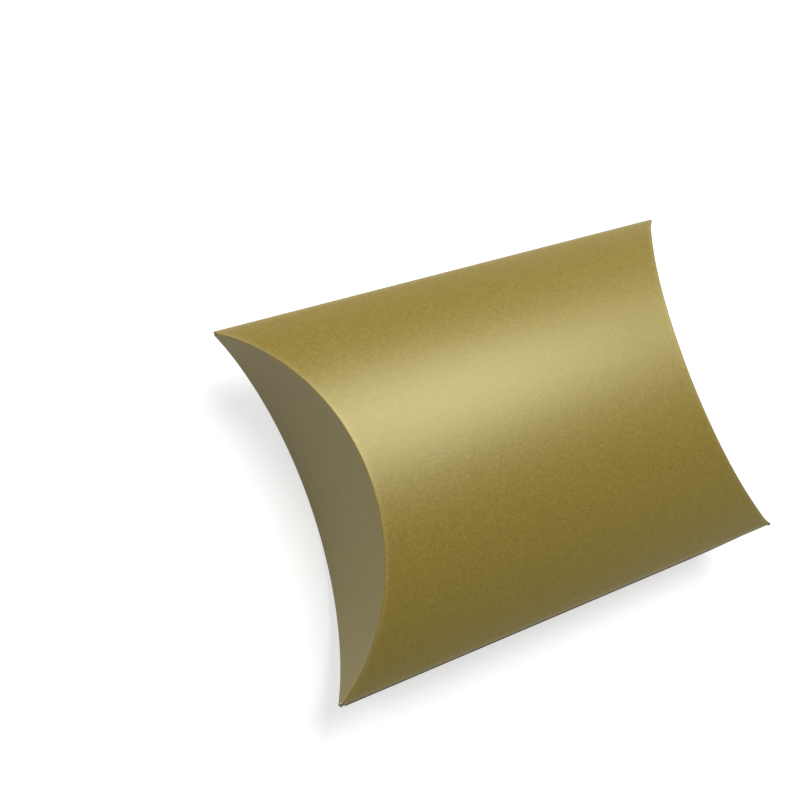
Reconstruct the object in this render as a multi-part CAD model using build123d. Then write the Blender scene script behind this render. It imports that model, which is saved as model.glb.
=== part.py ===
from build123d import *
import os
from math import cos, hypot, radians, sin, sqrt, tan

os.makedirs("parts", exist_ok=True)

# A pillow box of scored card, closed and bulged open, in mm. X runs along the straight side
# folds, Y across them and Z up. The origin lies under the middle of the box, on the surface
# that the back panel's belly rests on. Until the last step the plane of the side folds is Z = 0.

# The flat card, as it is cut and scored
fold_length = 88.0  # each straight side fold, from corner to corner
panel_width = 67.0  # each panel across, laid flat
score_depth = 13.2  # how far the curved end scores dip in at the middle of a panel
board = 0.4  # thickness of the card

# How far the panels bow once the box is filled out
front_bulge = 10.8  # middle of the front panel above the side folds
back_bulge = 13.2  # middle of the back panel below the side folds

# The end flaps
outer_lean = 8.0  # degrees that the outer flaps stand out from upright, sprung by the score
inner_swing = 8.0  # degrees that the inner flaps can be pressed in
nest_gap = 0.35  # between the inner and the outer flap of one end
fold_gap = 0.15  # between a panel and the flap that swings on it
roof_gap = 0.4  # between an inner flap's free edge and the front panel
edge_lift = 0.3  # an outer flap's free edge above the resting surface
tip_trim = 0.9  # the flaps' sharp tips end this far short of the side folds

# The thumb notch, in the right end's outer flap and in the left end's inner flap
notch_radius = 6.8
notch_depth = 8.6  # from the free edge to the bottom of the notch
notch_lip = 2.0  # radius of the soft lips at its mouth

# The seam along the near side fold
seam_width = 10.0  # the glue flap across, along the card
seam_setback = 0.5  # the back panel's raw edge below the side fold
seam_gap = 0.1  # between that raw edge and the turned card
seam_end = 4.5  # the glue flap's ends short of the corners, at the fold
seam_taper = 7.5  # how much further in each end lies at the glue flap's free side
glue = 0.1  # thickness of the glue line
glue_ease = 0.05  # clearance left on each face of the glue line
glue_inset = 2.0  # glue line inside the glue flap's outline

# How finely the bowed card is followed, and how far cutting shapes run past what they cut
spans = 10
fine_steps = 24
overrun = 2.0

half_panel = panel_width / 2
half_fold = fold_length / 2
bow_radius = (half_panel**2 + front_bulge**2) / (2 * front_bulge)
total_height = front_bulge + back_bulge + board
lean_slope = tan(radians(outer_lean))
inner_face = board / 2 + nest_gap  # from the outer flap's middle to the inner flap's outer face


def card_slope(along):
    """Slope of the bowed front panel at a place measured along the card from its middle."""
    return -along / sqrt(bow_radius**2 - along**2)


def bow_share(along):
    """Share of the full bulge that is left at a place along the card."""
    return (sqrt(bow_radius**2 - along**2) - (bow_radius - front_bulge)) / front_bulge


def run_across(along):
    """Distance across the box of a place along the card, by adding up short steps."""
    step = along / fine_steps
    places = [step * (i + 1 / 2) for i in range(fine_steps)]
    return sum(sqrt(1 - card_slope(place) ** 2) for place in places) * step


half_width = run_across(half_panel)  # from the middle of the box to a side fold


def bowed_points(height, offset):
    """Points across the box of a curve with this bulge, moved outwards by an offset."""
    points = []
    for i in range(-spans, spans + 1):
        along = half_panel * i / spans
        rise = height * card_slope(along) / front_bulge
        run = sqrt(1 - card_slope(along) ** 2)
        length = hypot(rise, run)
        y = run_across(along) - offset * rise / length
        points.append((y, height * bow_share(along) + offset * run / length))
    return points


def run_past(first, last, reach):
    """The point that lies a reach past the last of two points, on their line."""
    length = hypot(last[0] - first[0], last[1] - first[1])
    return tuple(b + (b - a) * reach / length for a, b in zip(first, last))


def bowed_line(height, offset):
    """The same curve with a straight overrun at both ends, as a list of edges."""
    points = bowed_points(height, offset)
    start = run_past(points[1], points[0], overrun)
    end = run_past(points[-2], points[-1], overrun)
    return [Line(start, points[0]), Spline(*points), Line(points[-1], end)], start, end


def closed_face(edges):
    return make_face(Curve() + edges)


def card_profile(height, upper, lower):
    """Cross section of bowed card between two offsets of its middle line."""
    top, top_start, top_end = bowed_line(height, upper)
    bottom, low_start, low_end = bowed_line(height, lower)
    return closed_face([*top, *bottom, Line(top_start, low_start), Line(top_end, low_end)])


def space_below(height, offset):
    """Everything under a bowed surface, as long as the box."""
    line, start, end = bowed_line(height, offset)
    depth = -(total_height + overrun)
    low_start = (start[0], depth)
    low_end = (end[0], depth)
    face = closed_face([*line, Line(start, low_start), Line(low_start, low_end), Line(low_end, end)])
    return along_box(face)


def along_box(face):
    """A cross section drawn in Y and Z, run along the whole box and a little past it."""
    return extrude(Plane.YZ * face, half_fold + overrun, both=True)


def upside_down(solid):
    return mirror(solid, about=Plane.XY)


def to_left(solid):
    return mirror(solid, about=Plane.YZ)


def end_line(depth, offset):
    """The right end's curve seen from above, moved inwards by an offset, as a list of edges."""
    points = [(half_fold - inset, y) for y, inset in bowed_points(depth, offset)]
    start = run_past(points[1], points[0], overrun)
    end = run_past(points[-2], points[-1], overrun)
    return [Line(start, points[0]), Spline(*points), Line(points[-1], end)], start, end


def short_of_end(offset):
    """Everything above the side folds' plane that lies inside the right end's curve."""
    line, start, end = end_line(score_depth, offset)
    far_start = (-half_fold - overrun, start[1])
    far_end = (-half_fold - overrun, end[1])
    face = closed_face([*line, Line(start, far_start), Line(far_start, far_end), Line(far_end, end)])
    return extrude(face, total_height)


def between_ends(card, offset):
    return card & short_of_end(offset) & to_left(short_of_end(offset))


def make_front_panel():
    card = along_box(card_profile(front_bulge, board / 2, -board / 2))
    return between_ends(card, board / 2 + fold_gap)


def make_back_panel():
    card = along_box(card_profile(back_bulge, board / 2, -board / 2))
    panel = upside_down(between_ends(card, inner_face))
    raw_edge = Pos(0, -half_width, 0) * Box(
        fold_length + 2 * overrun, half_width, 2 * seam_setback)
    return panel - raw_edge


def card_wall(depth, outer, inner, lean):
    """A strip of card that follows the right end's curve and runs up and down past the box."""
    near, near_start, near_end = end_line(depth, outer)
    far, far_start, far_end = end_line(depth, inner)
    face = closed_face([*near, *far, Line(near_start, far_start), Line(near_end, far_end)])
    return extrude(face, total_height, dir=(-lean, 0, 1), both=True)


def clear_of_tips():
    """The width between the places where the flaps' tips are trimmed."""
    return Box(4 * half_fold, 2 * (half_width - tip_trim), 4 * total_height)


def above_free_edge(reach_in, drop):
    """Everything over the sloping plane that an outer flap's free edge lies in."""
    low = (half_fold - 2 * reach_in, -2 * drop)
    high = (half_fold + reach_in, drop)
    corners = [low, high, (high[0], 2 * total_height), (low[0], 2 * total_height)]
    face = make_face(Polyline(*corners, close=True))
    return extrude(Plane.XZ * face, half_width + overrun, both=True)


notch_rise = notch_depth - notch_radius  # centre of the notch's round above the free edge
lip_x = sqrt((notch_radius + notch_lip) ** 2 - (notch_lip - notch_rise) ** 2)  # where a lip starts


def thumb_notch(edge_height):
    """A round notch with soft lips, cut up from a free edge at this height."""
    share = notch_radius / (notch_radius + notch_lip)
    meet_x = lip_x * share
    meet_z = edge_height + notch_rise + (notch_lip - notch_rise) * share
    low = edge_height - notch_depth
    outline = [
        TangentArc((lip_x, edge_height), (meet_x, meet_z), tangent=(-1, 0)),
        ThreePointArc((meet_x, meet_z), (0, edge_height + notch_depth), (-meet_x, meet_z)),
        TangentArc((-lip_x, edge_height), (-meet_x, meet_z), tangent=(1, 0)),
        Line((-lip_x, edge_height), (-lip_x, low)),
        Line((-lip_x, low), (lip_x, low)),
        Line((lip_x, low), (lip_x, edge_height)),
    ]
    return extrude(Plane.YZ * closed_face(outline), half_fold + overrun)


outer_drop = back_bulge + board / 2 - edge_lift
outer_reach = score_depth - (front_bulge + outer_drop) * lean_slope


def make_outer_flap(notched):
    """The right end's flap on the front panel, which closes last and lies outside."""
    wall = card_wall(score_depth - front_bulge * lean_slope, -board / 2, board / 2, lean_slope)
    flap = wall & space_below(front_bulge, board / 2) & clear_of_tips()
    flap = flap & above_free_edge(outer_reach, outer_drop)
    if notched:
        flap = flap - thumb_notch(-outer_drop * bow_share(lip_x))
    return flap


inner_hinge_x = half_fold - score_depth - inner_face - board
inner_hinge_z = -(back_bulge - board / 2 - fold_gap)


def make_inner_flap(notched):
    """The right end's flap on the back panel, which closes first and lies inside."""
    wall = card_wall(score_depth, inner_face, inner_face + board, 0)
    floor = upside_down(space_below(back_bulge, -board / 2 - fold_gap))
    roof = space_below(front_bulge, -board / 2 - roof_gap)
    hinge = Axis((inner_hinge_x, 0, inner_hinge_z), (0, 1, 0))
    flap = wall & floor & roof & roof.rotate(hinge, inner_swing) & clear_of_tips()
    if notched:
        free_edge = (front_bulge - board / 2 - roof_gap) * bow_share(lip_x)
        flap = flap - upside_down(thumb_notch(-free_edge))
    return flap


def seam_outline(inset, height):
    """The glue flap's tapered outline seen from above, drawn in by an inset."""
    free_side = -run_across(half_panel - seam_width) - inset
    fold_side = -half_width - overrun
    slope = seam_taper / seam_width
    at_free = half_fold - seam_end - seam_taper - inset
    at_fold = at_free + (free_side - fold_side) * slope
    corners = [(-at_fold, fold_side), (at_fold, fold_side), (at_free, free_side), (-at_free, free_side)]
    face = make_face(Polyline(*corners, close=True))
    return extrude(Pos(0, 0, -height) * face, -total_height)


def make_glue_flap():
    """The tab that turns in from the front panel's near fold and lies inside the back panel."""
    inside = -board / 2 - glue - 2 * glue_ease
    tab = upside_down(along_box(card_profile(back_bulge, inside, inside - board)))
    turn = upside_down(along_box(card_profile(back_bulge, board / 2, inside - board)))
    fold_strip = Pos(0, -half_width, 0) * Box(
        fold_length + 2 * overrun, half_width, 2 * (seam_setback - seam_gap))
    return (tab & seam_outline(0, 0)) + (turn & fold_strip & seam_outline(0, 0))


def make_glue_line():
    """The thin layer of glue between the tab and the back panel."""
    outside = -board / 2 - glue_ease
    layer = upside_down(along_box(card_profile(back_bulge, outside, outside - glue)))
    return layer & seam_outline(glue_inset, seam_setback + glue_inset)


nodes = {
    "front_panel": make_front_panel(),
    "back_panel": make_back_panel(),
    "glue_flap": make_glue_flap(),
    "glue_line": make_glue_line(),
    "left_outer_flap": to_left(make_outer_flap(False)),
    "left_inner_flap": to_left(make_inner_flap(True)),
    "right_outer_flap": make_outer_flap(True),
    "right_inner_flap": make_inner_flap(False),
}

rest_height = back_bulge + board / 2
for name, solid in nodes.items():
    export_step(Pos(0, 0, rest_height) * solid, f"parts/{name}.step")

outer_hinge = (half_fold - score_depth + board / 2, front_bulge + board / 2 + rest_height)
inner_hinge = (inner_hinge_x, inner_hinge_z + rest_height)
print("half width", round(half_width, 3), "rest height", round(rest_height, 3))
print("outer flap hinge x, z", [round(value, 3) for value in outer_hinge])
print("inner flap hinge x, z", [round(value, 3) for value in inner_hinge])
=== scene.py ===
from math import asin, atan2, cos, exp, hypot, pi, radians, sin, sqrt, tan

import bpy
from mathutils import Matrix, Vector


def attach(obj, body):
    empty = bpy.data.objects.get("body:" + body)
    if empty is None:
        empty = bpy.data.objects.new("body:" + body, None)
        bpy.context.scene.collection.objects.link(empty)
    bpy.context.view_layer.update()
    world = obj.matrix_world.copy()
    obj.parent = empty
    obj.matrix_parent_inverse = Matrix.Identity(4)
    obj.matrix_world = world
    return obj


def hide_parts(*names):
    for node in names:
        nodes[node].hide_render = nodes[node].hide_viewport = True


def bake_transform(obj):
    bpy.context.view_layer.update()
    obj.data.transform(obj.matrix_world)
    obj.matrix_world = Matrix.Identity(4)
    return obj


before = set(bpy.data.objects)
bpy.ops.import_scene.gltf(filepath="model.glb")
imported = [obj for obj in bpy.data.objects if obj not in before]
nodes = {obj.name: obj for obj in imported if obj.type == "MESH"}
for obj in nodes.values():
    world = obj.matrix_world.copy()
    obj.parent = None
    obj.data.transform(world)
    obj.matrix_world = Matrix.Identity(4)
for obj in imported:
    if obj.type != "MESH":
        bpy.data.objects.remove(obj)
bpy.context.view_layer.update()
scene = bpy.context.scene
scene.view_settings.view_transform = "Standard"
print("frame loaded:", len(nodes), "nodes")

# A pillow box of satin gold card, closed. X runs along the straight side folds, and their plane
# is at foldHeight. "Along" is a place across a panel, measured on the card from its middle.
card = {
    "foldLength": 0.088,
    "panelWidth": 0.067,
    "scoreDepth": 0.0132,
    "board": 0.0004,
    "frontBulge": 0.0108,
    "backBulge": 0.0132,
    "foldHeight": 0.0134,
    "scoreRound": 0.00026,  # how far the soft bend reaches each side of a curved score
    "tipRound": 0.0006,  # added to it towards the flaps' tips
    "tipFrom": 0.42,  # the tips begin where the bow is down to this share
    "tipPower": 1.5,  # and how suddenly the bend widens there
    "bendMost": 0.3,  # a bend's most, as a share of the outer flap's drop below the folds
    "foldRound": 0.00045,  # the soft bend of the straight side folds
    "tipEnd": 0.996,  # share of the fold that the corners' tips reach
    "rimBevel": 0.00005,  # softened cut edges
    "rimAngle": 62,  # degrees past which an edge is a cut edge
    "smoothAngle": 40,
}
halfPanel = card["panelWidth"] / 2
halfFold = card["foldLength"] / 2
bowRadius = (halfPanel**2 + card["frontBulge"] ** 2) / (2 * card["frontBulge"])
halfBoard = card["board"] / 2


def bowSlope(along):
    return -along / sqrt(bowRadius**2 - along**2)


def bowShare(along):
    # share of the full bulge that is left here
    return (sqrt(bowRadius**2 - along**2) - (bowRadius - card["frontBulge"])) / card["frontBulge"]


runSteps = 800
runTable = [0.0]
for i in range(runSteps):
    middle = halfPanel * (i + 0.5) / runSteps
    runTable.append(runTable[-1] + sqrt(1 - bowSlope(middle) ** 2) * halfPanel / runSteps)


def runAcross(along):
    # distance across the box of a place on the card, going on straight past the folds
    place = abs(along) / halfPanel * runSteps
    i = min(int(place), runSteps - 1)
    run = runTable[i] + (runTable[i + 1] - runTable[i]) * (place - i)
    return run if along >= 0 else -run


search = {"reach": 1.04, "rounds": 30}  # a little past the folds, halved this often


def placeWhere(isShort):
    # the place along the card up to which this is true
    low, high = -halfPanel * search["reach"], halfPanel * search["reach"]
    for i in range(search["rounds"]):
        middle = (low + high) / 2
        low, high = (middle, high) if isShort(middle) else (low, middle)
    return (low + high) / 2


def panelNormal(along, bulge, up):
    rise = bulge * bowSlope(along) / card["frontBulge"]
    run = sqrt(1 - bowSlope(along) ** 2)
    return Vector((0, -rise, run * up)) / hypot(rise, run)


def panelPoint(x, along, bulge, up, offset):
    # a point on a panel; up is 1 for the front panel and -1 for the back panel
    middle = Vector((x, runAcross(along), card["foldHeight"] + up * bulge * bowShare(along)))
    return middle + panelNormal(along, bulge, up) * offset


def heightUnder(y, bulge, offset):
    # how far a bowed face is from the folds' plane at a place across the box, and where that is
    along = placeWhere(lambda place: panelPoint(0, place, bulge, 1, offset).y < y)
    return panelPoint(0, along, bulge, 1, offset).z - card["foldHeight"], along


def softBend(corner, away, onward, reach, steps):
    # a small round from one face to the next, as points with both ends
    start, end = corner + away * reach, corner + onward * reach
    points = []
    for i in range(steps + 1):
        t = i / steps
        points.append(start * (1 - t) ** 2 + corner * 2 * t * (1 - t) + end * t * t)
    return points


def cornerOf(middle, first, second, firstOffset, secondOffset):
    # where two faces meet that lie these offsets from a point, along their normals
    g = first.dot(second)
    a = (firstOffset - g * secondOffset) / (1 - g * g)
    b = (secondOffset - g * firstOffset) / (1 - g * g)
    return middle + first * a + second * b


tangentStep = halfPanel / 500


def tangentOf(curve, along):
    return (curve(along + tangentStep) - curve(along - tangentStep)).normalized()


# the flaps' curves at the right end; the left end mirrors them
flaps = {
    "outerLean": 8.0,  # degrees that the outer flap stands out
    "edgeLift": 0.0003,
    "innerFace": 0.00055,  # inner flap's outer face inside the curved score
    "innerWidth": 0.93,  # share of the panel that the inner flap takes
    "innerLeast": 0.0006,  # its least height, kept towards the tips
    "roofGap": 0.0004,
    "innerSwing": 8.0,
    "tipTrim": 0.0004,  # the outer flap ends this far short of the corners, along the card
    "tipSpread": 1.25,  # how much finer its columns get towards the tips
    "wallRows": 26,
    "columns": 132,
    "bendSteps": 5,
    "scoreHighlight": 0.0005,  # a highlight is painted this near to a score
}
leanSlope = tan(radians(flaps["outerLean"]))
outerDrop = card["backBulge"] + halfBoard - flaps["edgeLift"]
footDepth = card["scoreDepth"] - card["frontBulge"] * leanSlope


def outerWall(along, height, offset):
    # a point on the outer flap's card, at a height from the folds' plane
    run = sqrt(1 - bowSlope(along) ** 2)
    fall = bowSlope(along) / card["frontBulge"]
    normal = Vector((run, footDepth * fall, leanSlope * run)).normalized()
    x = halfFold - footDepth * bowShare(along) - leanSlope * height
    middle = Vector((x, runAcross(along), card["foldHeight"] + height))
    return middle + normal * offset, normal


def frontScore(along):
    height = card["frontBulge"] * bowShare(along)
    middle, normal = outerWall(along, height, 0)
    return cornerOf(middle, panelNormal(along, card["frontBulge"], 1), normal, halfBoard, halfBoard)


def bendCap(along):
    return card["bendMost"] * outerDrop * bowShare(along)


def bendReach(along):
    # the card gives way over a wider strip near the tips, where the flap is narrow
    toTip = max(0, 1 - bowShare(along) / card["tipFrom"])
    return min(card["scoreRound"] + card["tipRound"] * toTip ** card["tipPower"], bendCap(along))


def frontBend(along):
    corner = frontScore(along)
    tangent = tangentOf(frontScore, along)
    panel = panelNormal(along, card["frontBulge"], 1)
    wall = outerWall(along, 0, 0)[1]
    away, onward = panel.cross(tangent).normalized(), wall.cross(tangent).normalized()
    away = away if away.x < 0 else -away
    onward = onward if onward.z < 0 else -onward
    return softBend(corner, away, onward, bendReach(along), flaps["bendSteps"])


def innerPlan(along, offset):
    # the inner flap's wall seen from above, and its outward normal
    run = sqrt(1 - bowSlope(along) ** 2)
    fall = bowSlope(along) / card["frontBulge"]
    normal = Vector((run, card["scoreDepth"] * fall, 0)).normalized()
    middle = Vector((halfFold - card["scoreDepth"] * bowShare(along), runAcross(along), 0))
    return middle - normal * offset, normal


def backScore(along):
    place = innerPlan(along, flaps["innerFace"])[0]
    depth = heightUnder(place.y, card["backBulge"], halfBoard)[0]
    return Vector((place.x, place.y, card["foldHeight"] - depth))


def backBend(along):
    corner = backScore(along)
    tangent = tangentOf(backScore, along)
    place, wall = innerPlan(along, flaps["innerFace"])
    under = heightUnder(place.y, card["backBulge"], halfBoard)[1]
    panel = panelNormal(under, card["backBulge"], -1)
    away, onward = panel.cross(tangent).normalized(), wall.cross(tangent).normalized()
    away = away if away.x < 0 else -away
    onward = onward if onward.z > 0 else -onward
    return softBend(corner, away, onward, min(card["scoreRound"], bendCap(along)), flaps["bendSteps"])


print("card's bend worked out, half width", round(runAcross(halfPanel), 5))


def addGroup(name, inputs, outputs):
    group = bpy.data.node_groups.new(name, "ShaderNodeTree")
    for label, kind in inputs:
        group.interface.new_socket(label, in_out="INPUT", socket_type=kind)
    for label, kind in outputs:
        group.interface.new_socket(label, in_out="OUTPUT", socket_type=kind)
    return group, group.nodes.new("NodeGroupInput"), group.nodes.new("NodeGroupOutput")


def addNoise(tree, vector, scale, detail, roughness):
    noise = tree.nodes.new("ShaderNodeTexNoise")
    noise.inputs["Scale"].default_value = scale
    noise.inputs["Detail"].default_value = detail
    noise.inputs["Roughness"].default_value = roughness
    tree.links.new(vector, noise.inputs["Vector"])
    return noise.outputs["Fac"]


def addRange(tree, value, low, high, toLow, toHigh):
    node = tree.nodes.new("ShaderNodeMapRange")
    node.inputs["From Min"].default_value = low
    node.inputs["From Max"].default_value = high
    node.inputs["To Min"].default_value = toLow
    node.inputs["To Max"].default_value = toHigh
    tree.links.new(value, node.inputs["Value"])
    return node.outputs["Result"]


def feed(tree, item, socket):
    # a socket takes another node's output or a plain value
    if isinstance(item, bpy.types.NodeSocket):
        tree.links.new(item, socket)
    else:
        socket.default_value = item


def addMix(tree, factor, first, second):
    node = tree.nodes.new("ShaderNodeMix")
    node.data_type = "RGBA"
    for label, kind, item in (("Factor", "VALUE", factor), ("A", "RGBA", first), ("B", "RGBA", second)):
        feed(tree, item, [s for s in node.inputs if s.name == label and s.type == kind][0])
    return [s for s in node.outputs if s.type == "RGBA"][0]


def addMath(tree, operation, first, second):
    node = tree.nodes.new("ShaderNodeMath")
    node.operation = operation
    feed(tree, first, node.inputs[0])
    feed(tree, second, node.inputs[1])
    return node.outputs[0]


# felted paper fibre; each noise has its scale, detail and roughness
paper = {
    "mottle": (1300, 4, 0.7),
    "grain": (2600, 5, 0.65),
    "flecks": (3800, 2, 0.5),
    "speckRange": (0.70, 0.78),  # only the flecks' peaks show as specks
    "mottleRelief": 1.2,
    "usual": (0.3, 0.7),  # the values that most of a noise lies between
}


def paperGrainGroup():
    # a cloudy mottle, a fine grain, a few bright specks, and the relief of the first two
    inputs = [("Vector", "NodeSocketVector")]
    outputs = [(label, "NodeSocketFloat") for label in ("Mottle", "Grain", "Specks", "Height")]
    group, inside, outside = addGroup("paperGrain", inputs, outputs)
    vector = inside.outputs["Vector"]
    mottle = addNoise(group, vector, *paper["mottle"])
    grain = addNoise(group, vector, *paper["grain"])
    flecks = addNoise(group, vector, *paper["flecks"])
    specks = addRange(group, flecks, *paper["speckRange"], 0, 1)
    height = addMath(group, "ADD", grain, addMath(group, "MULTIPLY", mottle, paper["mottleRelief"]))
    group.links.new(mottle, outside.inputs["Mottle"])
    group.links.new(grain, outside.inputs["Grain"])
    group.links.new(specks, outside.inputs["Specks"])
    group.links.new(height, outside.inputs["Height"])
    return group


paperGrain = paperGrainGroup()


def startMaterial(name):
    material = bpy.data.materials.new(name)
    material.use_nodes = True
    tree = material.node_tree
    shader = tree.nodes["Principled BSDF"]
    place = tree.nodes.new("ShaderNodeTexCoord")
    grain = tree.nodes.new("ShaderNodeGroup")
    grain.node_tree = paperGrain
    tree.links.new(place.outputs["Object"], grain.inputs["Vector"])
    return material, tree, shader, grain


def addBump(tree, shader, height, distance, strength):
    bump = tree.nodes.new("ShaderNodeBump")
    bump.inputs["Distance"].default_value = distance
    bump.inputs["Strength"].default_value = strength
    tree.links.new(height, bump.inputs["Height"])
    tree.links.new(bump.outputs["Normal"], shader.inputs["Normal"])


goldCard = {
    "dark": (0.142, 0.096, 0.003, 1),
    "light": (0.202, 0.142, 0.009, 1),
    "speck": (0.60, 0.54, 0.32, 1),
    "highlight": (0.27, 0.21, 0.07, 1),  # painted highlight: a lighter gold along the scores and folds
    "cloud": (0.28, 0.72),  # how far the mottle takes the colour from dark to light
    "fine": (-0.45, 0.45),  # and what the grain adds
    "fineRange": (0.25, 0.75),
    "speckShare": 0.5,
    "highlightShare": (0.15, 0.45),  # least and most of the painted highlight on a score
    "metallic": 0.15,
    "specular": 0.66,
    "sheenTint": (0.82, 0.93, 0.80, 1),
    "smooth": 0.38,
    "rough": 0.47,
    "bump": 0.00002,
    "bumpStrength": 0.5,
}


def goldMaterial(name):
    material, tree, shader, grain = startMaterial(name)
    shader.inputs["Metallic"].default_value = goldCard["metallic"]
    shader.inputs["Specular IOR Level"].default_value = goldCard["specular"]
    shader.inputs["Specular Tint"].default_value = goldCard["sheenTint"]
    fibre = grain.outputs["Grain"]
    cloud = addRange(tree, grain.outputs["Mottle"], *paper["usual"], *goldCard["cloud"])
    fine = addRange(tree, fibre, *goldCard["fineRange"], *goldCard["fine"])
    colour = addMix(tree, addMath(tree, "ADD", cloud, fine), goldCard["dark"], goldCard["light"])
    specks = addMath(tree, "MULTIPLY", grain.outputs["Specks"], goldCard["speckShare"])
    colour = addMix(tree, specks, colour, goldCard["speck"])
    # painted highlight: scores and folds are coloured a lighter gold, in patches that follow the grain
    score = tree.nodes.new("ShaderNodeAttribute")
    score.attribute_name = "scoreHighlight"
    patches = addRange(tree, fibre, *paper["usual"], *goldCard["highlightShare"])
    highlightMask = addMath(tree, "MULTIPLY", score.outputs["Fac"], patches)
    colour = addMix(tree, highlightMask, colour, goldCard["highlight"])
    tree.links.new(colour, shader.inputs["Base Color"])
    rough = addRange(tree, fibre, *paper["usual"], goldCard["smooth"], goldCard["rough"])
    tree.links.new(rough, shader.inputs["Roughness"])
    addBump(tree, shader, grain.outputs["Height"], goldCard["bump"], goldCard["bumpStrength"])
    return material


plainCard = {
    "dark": (0.66, 0.65, 0.60, 1),
    "light": (0.80, 0.79, 0.75, 1),
    # painted shade: the cut edges are coloured near black, as if in shadow
    "edgeShadeDark": (0.045, 0.037, 0.024, 1),
    "edgeShadeLight": (0.115, 0.098, 0.068, 1),
    "smooth": 0.83,
    "rough": 0.93,
    "bump": 0.00003,
    "bumpStrength": 0.6,
}


def plainMaterial(name, dark, light):
    material, tree, shader, grain = startMaterial(name)
    colour = addMix(tree, addRange(tree, grain.outputs["Grain"], *paper["usual"], 0, 1), dark, light)
    tree.links.new(colour, shader.inputs["Base Color"])
    mottle = grain.outputs["Mottle"]
    rough = addRange(tree, mottle, *paper["usual"], plainCard["smooth"], plainCard["rough"])
    tree.links.new(rough, shader.inputs["Roughness"])
    addBump(tree, shader, grain.outputs["Height"], plainCard["bump"], plainCard["bumpStrength"])
    return material


driedGlue = {
    "clear": (0.74, 0.71, 0.60, 1),
    "cloudy": (0.62, 0.58, 0.46, 1),
    "cloudRange": (0.35, 0.65),
    "smooth": 0.25,
    "rough": 0.4,
    "bump": 0.00004,
    "bumpStrength": 0.5,
}


def glueMaterial(name):
    material, tree, shader, grain = startMaterial(name)
    mottle = grain.outputs["Mottle"]
    clouds = addRange(tree, mottle, *driedGlue["cloudRange"], 0, 1)
    colour = addMix(tree, clouds, driedGlue["clear"], driedGlue["cloudy"])
    tree.links.new(colour, shader.inputs["Base Color"])
    rough = addRange(tree, mottle, *driedGlue["cloudRange"], driedGlue["smooth"], driedGlue["rough"])
    tree.links.new(rough, shader.inputs["Roughness"])
    addBump(tree, shader, mottle, driedGlue["bump"], driedGlue["bumpStrength"])
    return material


goldInk = goldMaterial("goldInk")
whiteInside = plainMaterial("whiteInside", plainCard["dark"], plainCard["light"])
# the cut edges' material, painted dark as shade
shadedCutEdge = plainMaterial("shadedCutEdge", plainCard["edgeShadeDark"], plainCard["edgeShadeLight"])
glueFilm = glueMaterial("glueFilm")
print("materials made")


def spreadOut(t, power):
    # -1..1 to -1..1, with finer steps towards both ends
    side = 1 if t >= 0 else -1
    return side * (1 - (1 - abs(t)) ** power)


def cardSheet(name, columns, rows, place, turned):
    # a flat sheet of card, cut into squares and then bent to its place
    bpy.ops.object.select_all(action="DESELECT")
    bpy.ops.mesh.primitive_grid_add(
        x_subdivisions=columns, y_subdivisions=rows, size=2, location=(0, 0, 0))
    sheet = bpy.context.object
    sheet.name = name
    sheet.data.name = name
    # each point's share of the painted highlight along the scores and folds
    highlightMask = sheet.data.attributes.new("scoreHighlight", "FLOAT", "POINT")
    for i, vertex in enumerate(sheet.data.vertices):
        point, highlight = place(vertex.co.x, vertex.co.y)
        vertex.co = point
        highlightMask.data[i].value = highlight
    if turned:
        bpy.ops.object.mode_set(mode="EDIT")
        bpy.ops.mesh.select_all(action="SELECT")
        bpy.ops.mesh.flip_normals()
        bpy.ops.object.mode_set(mode="OBJECT")
    return sheet


def applied(piece, kind, **values):
    modifier = piece.modifiers.new(kind.lower(), kind)
    for key, value in values.items():
        setattr(modifier, key, value)
    bpy.context.view_layer.objects.active = piece
    bpy.ops.object.modifier_apply(modifier=modifier.name)


def giveThickness(piece):
    # gold outside, white inside, and the cut edges painted dark as shade
    piece.data.materials.clear()
    for material in (goldInk, whiteInside, shadedCutEdge):
        piece.data.materials.append(material)
    applied(
        piece, "SOLIDIFY", thickness=card["board"], offset=-1, use_even_offset=True,
        material_offset=1, material_offset_rim=2)


def finishCard(piece):
    applied(
        piece, "BEVEL", width=card["rimBevel"], segments=1, limit_method="ANGLE",
        angle_limit=radians(card["rimAngle"]))
    bpy.ops.object.select_all(action="DESELECT")
    piece.select_set(True)
    bpy.context.view_layer.objects.active = piece
    bpy.ops.object.shade_smooth_by_angle(angle=radians(card["smoothAngle"]))


def nearness(distance, reach):
    return exp(-((distance / reach) ** 2))


# the faint unevenness of hand-folded card; paces are radians for each metre, with their starts
ripple = {
    "height": 0.00004,
    "calm": 0.006,  # it dies out this near to a score or a fold
    "lengthwise": (95, 1.1),
    "crosswise": (120, 0.4),
    "slant": (51, 70, 2.0),
    "slantShare": 0.6,
    "backShift": 0.01,  # keeps the back panel's waves apart from the front panel's
}


def waver(x, along, room):
    # room is the way to the nearest score or fold
    xPace, xStart = ripple["lengthwise"]
    acrossPace, acrossStart = ripple["crosswise"]
    slantX, slantAcross, slantStart = ripple["slant"]
    wave = sin(x * xPace + xStart) * sin(along * acrossPace + acrossStart)
    wave += ripple["slantShare"] * sin(x * slantX - along * slantAcross + slantStart)
    return ripple["height"] * wave * min(1, max(0, room / ripple["calm"]))


def foldBend(side, backOffset):
    # the straight side fold from the front panel round to the back panel or the glue flap
    edge = side * halfPanel
    first = panelNormal(edge, card["frontBulge"], 1)
    second = panelNormal(edge, card["backBulge"], -1)
    middle = Vector((0, runAcross(edge), card["foldHeight"]))
    corner = cornerOf(middle, first, second, halfBoard, backOffset)
    away = Vector((0, -side * first.z, side * first.y))
    onward = Vector((0, side * second.z, -side * second.y))
    return softBend(corner, away, onward, card["foldRound"], flaps["bendSteps"])


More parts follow.
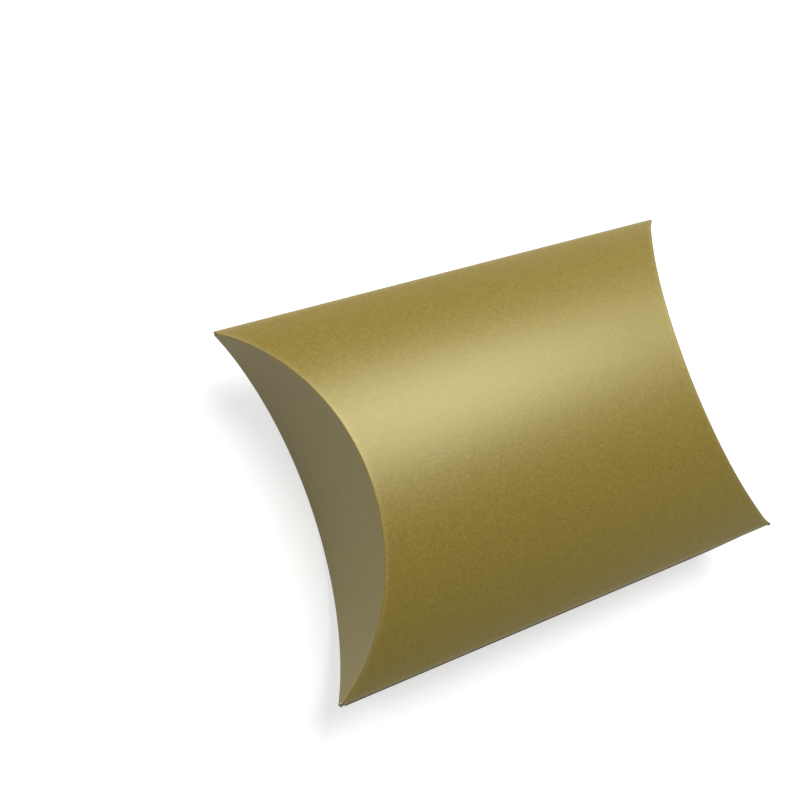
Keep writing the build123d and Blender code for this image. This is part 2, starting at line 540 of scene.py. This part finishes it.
seam = {
    "rawEdge": 0.00062,  # the back panel's raw edge short of the near fold, along the card
    "drift": 0.0022,  # how it draws back towards the right corner
    "driftFrom": 0.55,  # from this share of the half length on
    "nearBend": 0.0010,  # the front panel starts to turn this far from the near fold
    "glueFlap": 0.0100,
    "flapEnd": 0.0045,
    "flapTaper": 0.0075,
    "flapDepth": 0.00034,  # glue flap's outer face inside the back panel's middle
    "flapGrid": (60, 30),  # columns and rows
}
panels = {
    "frontGrid": (120, 110),  # columns and rows
    "backGrid": (110, 100),
    "endSpread": 1.7,  # how much finer the columns get towards the ends
    "foldSpread": 1.35,  # and the front panel's rows towards the folds
    "slant": 0.7,  # the score's distance is about this share of the way to it along X
    "scoreHighlight": 0.0004,  # a highlight is painted this near to a score
    "foldHighlight": 0.0005,  # and this near to a fold
}


def frontPanelSheet():
    columns, rows = panels["frontGrid"]
    bendRows = flaps["bendSteps"]
    mainRows = rows - 2 * bendRows
    nearRound, farRound = foldBend(-1, -seam["flapDepth"]), foldBend(1, halfBoard)
    nearReach, farReach = halfPanel - seam["nearBend"], halfPanel - card["foldRound"]

    def tipWidth(reach, t):
        return frontBend(reach)[0].x * (1 - t) + card["tipEnd"] * halfFold * t

    def place(u, w):
        row = round((w + 1) / 2 * rows)
        across = spreadOut(u, panels["endSpread"])
        if row < bendRows:
            point = nearRound[bendRows - row]
            width, highlight = tipWidth(nearReach, (bendRows - row) / bendRows), 1.0
        elif row > rows - bendRows:
            point = farRound[row - (rows - bendRows)]
            width, highlight = tipWidth(farReach, (row - rows + bendRows) / bendRows), 1.0
        else:
            t = spreadOut((row - bendRows) / mainRows * 2 - 1, panels["foldSpread"])
            along = -nearReach + (nearReach + farReach) * (t + 1) / 2
            toFold = min(along + nearReach, farReach - along)
            end = frontBend(along)[0]
            width = end.x
            inside = width * (1 - abs(across))
            # the painted highlight's share near a score and near a fold
            nearScoreHighlight = nearness(inside * panels["slant"], panels["scoreHighlight"])
            highlight = max(nearScoreHighlight, nearness(toFold, panels["foldHighlight"]))
            lift = waver(across * width, along, min(inside, toFold))
            point = end + panelNormal(along, card["frontBulge"], 1) * lift
        return Vector((across * width, point.y, point.z)), highlight

    return cardSheet("frontPanel", columns, rows, place, False)


def backPanelSheet():
    columns, rows = panels["backGrid"]
    farFold = foldBend(1, halfBoard)[-1]
    reach = halfPanel - card["foldRound"]

    def place(u, w):
        across = spreadOut(u, panels["endSpread"])
        drawnBack = seam["drift"] * max(0, across - seam["driftFrom"]) ** 2
        start = -halfPanel + seam["rawEdge"] + drawnBack
        along = start + (reach - start) * (w + 1) / 2
        end = backBend(along)[0]
        inside = end.x * (1 - abs(across))
        room = min(inside, halfPanel - abs(along))
        height = waver(across * end.x + ripple["backShift"], along, room)
        lift = panelNormal(along, card["backBulge"], -1) * height
        highlight = nearness(inside * panels["slant"], panels["scoreHighlight"])
        point = farFold if w > 1 - 1 / rows else end  # the last row is the far fold
        return Vector((across * end.x, point.y, point.z)) + lift, highlight

    return cardSheet("backPanel", columns, rows, place, True)


def glueFlapSheet():
    # from the near fold's round the card runs up inside the back panel
    columns, rows = seam["flapGrid"]
    nearFold = foldBend(-1, -seam["flapDepth"])[-1]
    start = -halfPanel + card["foldRound"]
    end = -halfPanel + seam["glueFlap"]
    foldWidth = halfFold - seam["flapEnd"]

    def place(u, w):
        t = (w + 1) / 2
        along = start + (end - start) * t
        inside = panelPoint(0, along, card["backBulge"], -1, -seam["flapDepth"])
        point = inside if t > 0 else nearFold
        width = foldWidth - seam["flapTaper"] * t
        return Vector((u * width, point.y, point.z)), 0.0

    return cardSheet("glueFlap", columns, rows, place, True)


def flapPoint(bend, edge, row):
    # round the score's bend row by row, then straight on to the free edge
    if row <= flaps["bendSteps"]:
        return bend[row], 1.0
    point = bend[-1].lerp(edge, (row - flaps["bendSteps"]) / flaps["wallRows"])
    return point, nearness((point - bend[-1]).length, flaps["scoreHighlight"])


def outerFlapSheet(name, side):
    columns, rows = flaps["columns"], flaps["wallRows"] + flaps["bendSteps"]
    reach = halfPanel - flaps["tipTrim"]

    def place(u, w):
        along = spreadOut(u, flaps["tipSpread"]) * reach
        foot = outerWall(along, -outerDrop * bowShare(along), halfBoard)[0]
        point, highlight = flapPoint(frontBend(along), foot, round((1 - w) / 2 * rows))
        return Vector((point.x * side, point.y, point.z)), highlight

    return cardSheet(name, columns, rows, place, side < 0)


def innerTop(along):
    # free edge under the front panel, low enough at the tips to be pressed in
    place = innerPlan(along, flaps["innerFace"])[0]
    roof = heightUnder(place.y, card["frontBulge"], -halfBoard - flaps["roofGap"])[0]
    hingeX = halfFold - card["scoreDepth"] - flaps["innerFace"] - card["board"]
    lowered = roof - (place.x - hingeX) * sin(radians(flaps["innerSwing"]))
    return card["foldHeight"] + max(lowered, -card["backBulge"] * bowShare(along) + flaps["innerLeast"])


def innerFlapSheet(name, side):
    columns, rows = flaps["columns"], flaps["wallRows"] + flaps["bendSteps"]
    reach = halfPanel * flaps["innerWidth"]

    def place(u, w):
        along = u * reach
        bend = backBend(along)
        top = Vector((bend[-1].x, bend[-1].y, innerTop(along)))
        point, highlight = flapPoint(bend, top, round((w + 1) / 2 * rows))
        return Vector((point.x * side, point.y, point.z)), highlight

    return cardSheet(name, columns, rows, place, side < 0)


frontPanel = frontPanelSheet()
giveThickness(frontPanel)
finishCard(frontPanel)
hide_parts("front_panel")
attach(frontPanel, "sleeve")
print("front panel done")

backPanel = backPanelSheet()
giveThickness(backPanel)
finishCard(backPanel)
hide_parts("back_panel")
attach(backPanel, "sleeve")

glueFlap = glueFlapSheet()
giveThickness(glueFlap)
finishCard(glueFlap)
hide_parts("glue_flap")
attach(glueFlap, "sleeve")
for slot in nodes["glue_line"].material_slots:
    slot.material = glueFilm
print("back panel and seam done")

# a thumb notch in the right end's outer flap and in the left end's inner flap
notch = {
    "radius": 0.0068,
    "depth": 0.0086,
    "lip": 0.0020,  # radius of the soft lips at its mouth
    "steps": 40,
    "lipSteps": 10,
    "cutFrom": 0.028,  # where the cutter starts along X, and its length
    "cutLength": 0.012,
    "cutPast": 0.006,  # how far it runs out past the free edge
}
notchRise = notch["depth"] - notch["radius"]  # middle of the round from the free edge
lipAcross = sqrt((notch["radius"] + notch["lip"]) ** 2 - (notch["lip"] - notchRise) ** 2)


def notchOutline():
    # a lip, the round, the other lip, and then out past the free edge
    lipCentre = Vector((lipAcross, notch["lip"]))
    toCentre = Vector((0, notchRise)) - lipCentre
    startAngle, endAngle = -pi / 2, atan2(toCentre.y, toCentre.x)
    while endAngle > startAngle:
        endAngle -= 2 * pi
    lip = []
    for i in range(notch["lipSteps"] + 1):
        angle = startAngle + (endAngle - startAngle) * i / notch["lipSteps"]
        lip.append((lipCentre.x + notch["lip"] * cos(angle), lipCentre.y + notch["lip"] * sin(angle)))
    fromCentre = atan2(-toCentre.y, -toCentre.x)
    middle = []
    for i in range(1, notch["steps"]):
        angle = fromCentre + (pi - 2 * fromCentre) * i / notch["steps"]
        middle.append((notch["radius"] * cos(angle), notchRise + notch["radius"] * sin(angle)))
    otherLip = [(-across, height) for across, height in reversed(lip)]
    mouth = [(-lipAcross, -notch["cutPast"]), (lipAcross, -notch["cutPast"])]
    return lip + middle + otherLip + mouth


def notchCutter(name, side, edgeHeight, up):
    outline = notchOutline()
    bpy.ops.object.select_all(action="DESELECT")
    bpy.ops.mesh.primitive_circle_add(
        vertices=len(outline), radius=1, fill_type="NGON", location=(0, 0, 0))
    cutter = bpy.context.object
    cutter.name = name
    for vertex, (across, height) in zip(cutter.data.vertices, outline):
        vertex.co = (notch["cutFrom"] * side, across, edgeHeight + up * height)
    bpy.ops.object.mode_set(mode="EDIT")
    bpy.ops.mesh.select_all(action="SELECT")
    bpy.ops.mesh.extrude_region_move(
        TRANSFORM_OT_translate={"value": (notch["cutLength"] * side, 0, 0)})
    bpy.ops.mesh.select_all(action="SELECT")
    bpy.ops.mesh.normals_make_consistent(inside=False)
    bpy.ops.object.mode_set(mode="OBJECT")
    # the notch's cut faces take the same painted shade
    cutter.data.materials.append(shadedCutEdge)
    return cutter


def cutNotch(flap, side, edgeHeight, up):
    cutter = notchCutter(flap.name + "Cutter", side, edgeHeight, up)
    applied(flap, "BOOLEAN", operation="DIFFERENCE", solver="EXACT", object=cutter)
    bpy.data.objects.remove(cutter)


ends = {"left": -1, "right": 1}
blendZone = {
    "outerTurn": 100.0,  # the turn, in degrees, at which an outer flap's share comes to 1
    "tipLift": 2.4,  # keeps the card's two faces apart at the narrow tips
    "steady": 0.2,  # the score's plane is the same within this share of the half width
    "least": 0.000001,  # added to a bend's reach, so that nothing is divided by zero
    "innerTilt": (-0.707, 0, 0.707),  # a line across each inner flap and, below, a distance from its score; neither bends the flap
    "innerReach": 0.0164,
}


def outerShare(point, side):
    # The open outer flap mirrors the closed one in the plane of its curved score, with the gold
    # face still outside. This is how far a point turns about the hinge for that, as a share.
    place = Vector((point.x * side, point.y, point.z))
    along = placeWhere(lambda middle: runAcross(middle) < place.y)
    hinge, score = frontScore(0), frontScore(max(abs(along), halfPanel * blendZone["steady"]))
    plane = atan2(score.z - hinge.z, score.x - hinge.x)
    wall, normal = outerWall(along, place.z - card["foldHeight"], halfBoard)
    lift = 2 + blendZone["tipLift"] * (1 - bowShare(along))
    inside = max(0, (wall - place).dot(normal))
    faced = place + normal * lift * inside
    angles = [atan2(p.z - hinge.z, p.x - hinge.x) for p in (place, faced)]
    turned = min(1, max(0, (2 * plane - sum(angles)) / radians(blendZone["outerTurn"])))
    drop = frontScore(along).z - place.z - inside
    return turned * min(1, max(0, drop / (bendReach(along) + blendZone["least"])))  # none before the score


def blendPlace(share):
    # where on its way from 0 to 1 the blend's smooth step comes to this share
    return 0.5 - sin(asin(1 - 2 * share) / 3)


def blendOuterFlap(flap, side):
    # the flap's points are laid out along X by these shares and its transform baked, then the shape comes
    # back
    rest = [vertex.co.copy() for vertex in flap.data.vertices]
    for vertex, place in zip(flap.data.vertices, rest):
        vertex.co = (blendPlace(outerShare(place, side)), 0, 0)
    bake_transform(flap)
    for vertex, place in zip(flap.data.vertices, rest):
        vertex.co = place
    flap.data.update()


for end, side in ends.items():
    outerFlap = outerFlapSheet(end + "OuterFlap", side)
    giveThickness(outerFlap)
    innerFlap = innerFlapSheet(end + "InnerFlap", side)
    giveThickness(innerFlap)
    if side > 0:
        cutNotch(outerFlap, side, card["foldHeight"] - outerDrop * bowShare(lipAcross), 1)
    else:
        cutNotch(innerFlap, side, innerTop(lipAcross), -1)
    finishCard(outerFlap)
    finishCard(innerFlap)
    blendOuterFlap(outerFlap, side)
    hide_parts(end + "_outer_flap")
    apex = backBend(0)[-1]
    tilt = Vector(blendZone["innerTilt"])
    tilt.x *= side
    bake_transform(innerFlap)
    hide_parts(end + "_inner_flap")
    print(end, "flaps done")


studio = {
    "floorSize": 6,
    "floorColour": (0.50, 0.50, 0.495, 1),
    "floorRoughness": 0.9,
    "floorSpecular": 0.1,
    "floorGlow": 0.62,
    "worldLevel": 0.24,
    "worldSeen": 0.88,
    "keyPlace": (0.16, 0.20, 0.47),
    "keySize": 0.34,
    "keyPower": 3.4,
    "fillPlace": (-0.24, 0.50, 0.19),
    "fillSize": 0.3,
    "fillPower": 1.1,
    "lampAim": (0, 0, 0.012),
}


def seenDirectly(tree):
    # 1 where the camera sees something straight on, in a gloss or through glass, and otherwise 0
    path = tree.nodes.new("ShaderNodeLightPath")
    seen = addMath(tree, "MAXIMUM", path.outputs["Is Camera Ray"], path.outputs["Is Glossy Ray"])
    return addMath(tree, "MAXIMUM", seen, path.outputs["Is Transmission Ray"])


def addFloor():
    bpy.ops.object.select_all(action="DESELECT")
    bpy.ops.mesh.primitive_plane_add(size=studio["floorSize"], location=(0, 0, 0))
    floor = bpy.context.object
    floor.name = "floor"
    material = bpy.data.materials.new("paleFloor")
    material.use_nodes = True
    tree = material.node_tree
    shader = tree.nodes["Principled BSDF"]
    shader.inputs["Base Color"].default_value = studio["floorColour"]
    shader.inputs["Roughness"].default_value = studio["floorRoughness"]
    shader.inputs["Specular IOR Level"].default_value = studio["floorSpecular"]
    shader.inputs["Emission Color"].default_value = (1, 1, 1, 1)
    glow = addMath(tree, "MULTIPLY", seenDirectly(tree), studio["floorGlow"])
    tree.links.new(glow, shader.inputs["Emission Strength"])
    floor.data.materials.append(material)


def addWorld():
    world = bpy.data.worlds.new("studio")
    scene.world = world
    world.use_nodes = True
    tree = world.node_tree
    background = tree.nodes["Background"]
    background.inputs["Color"].default_value = (1, 1, 1, 1)
    level = addRange(tree, seenDirectly(tree), 0, 1, studio["worldLevel"], studio["worldSeen"])
    tree.links.new(level, background.inputs["Strength"])


def addLamp(name, place, size, power):
    lamp = bpy.data.lights.new(name, "AREA")
    lamp.shape = "DISK"
    lamp.size = size
    lamp.energy = power
    holder = bpy.data.objects.new(name, lamp)
    scene.collection.objects.link(holder)
    holder.location = place
    aim = Vector(studio["lampAim"]) - Vector(place)
    holder.rotation_euler = aim.to_track_quat("-Z", "Y").to_euler()


view = {
    "place": (-0.080329, -0.005965, 0.167158),
    "turn": (13.371, -18.884, -20.538),
    "lens": 45.0,
    "sensor": 36.0,
    "nearest": 0.005,
    "farthest": 20,
}


def addCamera():
    camera = bpy.data.cameras.new("camera")
    camera.lens = view["lens"]
    camera.sensor_width = view["sensor"]
    camera.clip_start = view["nearest"]
    camera.clip_end = view["farthest"]
    holder = bpy.data.objects.new("camera", camera)
    scene.collection.objects.link(holder)
    holder.location = view["place"]
    holder.rotation_euler = [radians(a) for a in view["turn"]]
    scene.camera = holder


addFloor()
addWorld()
addLamp("keyLamp", studio["keyPlace"], studio["keySize"], studio["keyPower"])
addLamp("fillLamp", studio["fillPlace"], studio["fillSize"], studio["fillPower"])
addCamera()
print("floor, light and camera done")
